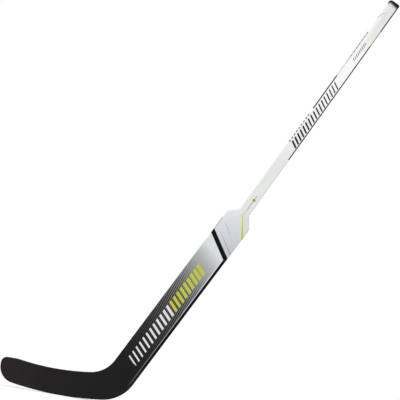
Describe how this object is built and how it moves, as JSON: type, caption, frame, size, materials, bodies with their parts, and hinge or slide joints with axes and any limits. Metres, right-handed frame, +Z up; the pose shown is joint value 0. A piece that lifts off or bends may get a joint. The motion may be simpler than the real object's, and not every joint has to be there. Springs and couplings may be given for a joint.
{
  "type": "hockey goalie stick",
  "caption": "Goalie stick with a curved black blade, a wide paddle that fades from black to white, a sloped shoulder and a slim white shaft with a black end cap.",
  "frame": {"origin": "the grip: the point where the shaft axis crosses the paddle axis, at mid depth", "axes": "+Z up in the playing lie with the blade flat on the ice, -X towards the toe, +X the way that the shaft leans, -Y the front face, +Y the back face"},
  "size_m": [0.9914, 0.0559, 1.3391],
  "materials": {
    "blade_laminate": "matte black laminate",
    "edge_binding": "matte black edge",
    "paddle_print": "clear-coated print from black to white",
    "rail_print": "clear-coated print from black to white",
    "rail_black": "black gloss paint",
    "shoulder_paint": "cool white gloss paint",
    "shaft_paint": "white gloss paint",
    "cap_rubber": "matte black",
    "plug_plastic": "moulded plastic",
    "foam": "closed-cell foam",
    "web": "bare laminate",
    "tenon": "sanded hardwood"
  },
  "bodies": {
    "root": {"blade_front_skin": "blade_laminate", "blade_back_skin": "blade_laminate", "blade_edge_binding": "edge_binding", "blade_upper_foam": "foam", "blade_lower_foam": "foam", "blade_bridge": "web", "heel_tenon": "tenon", "paddle_front_skin": "paddle_print", "paddle_back_skin": "paddle_print", "paddle_left_rail": "rail_print", "paddle_right_rail": "rail_black", "paddle_left_rib": "web", "paddle_right_rib": "web", "paddle_left_foam": "foam", "paddle_centre_foam": "foam", "paddle_right_foam": "foam", "shoulder_block": "shoulder_paint", "shaft_tenon": "tenon", "shaft_tube": "shaft_paint", "butt_plug": "plug_plastic", "butt_cap": "cap_rubber"}
  },
  "joints": []
}
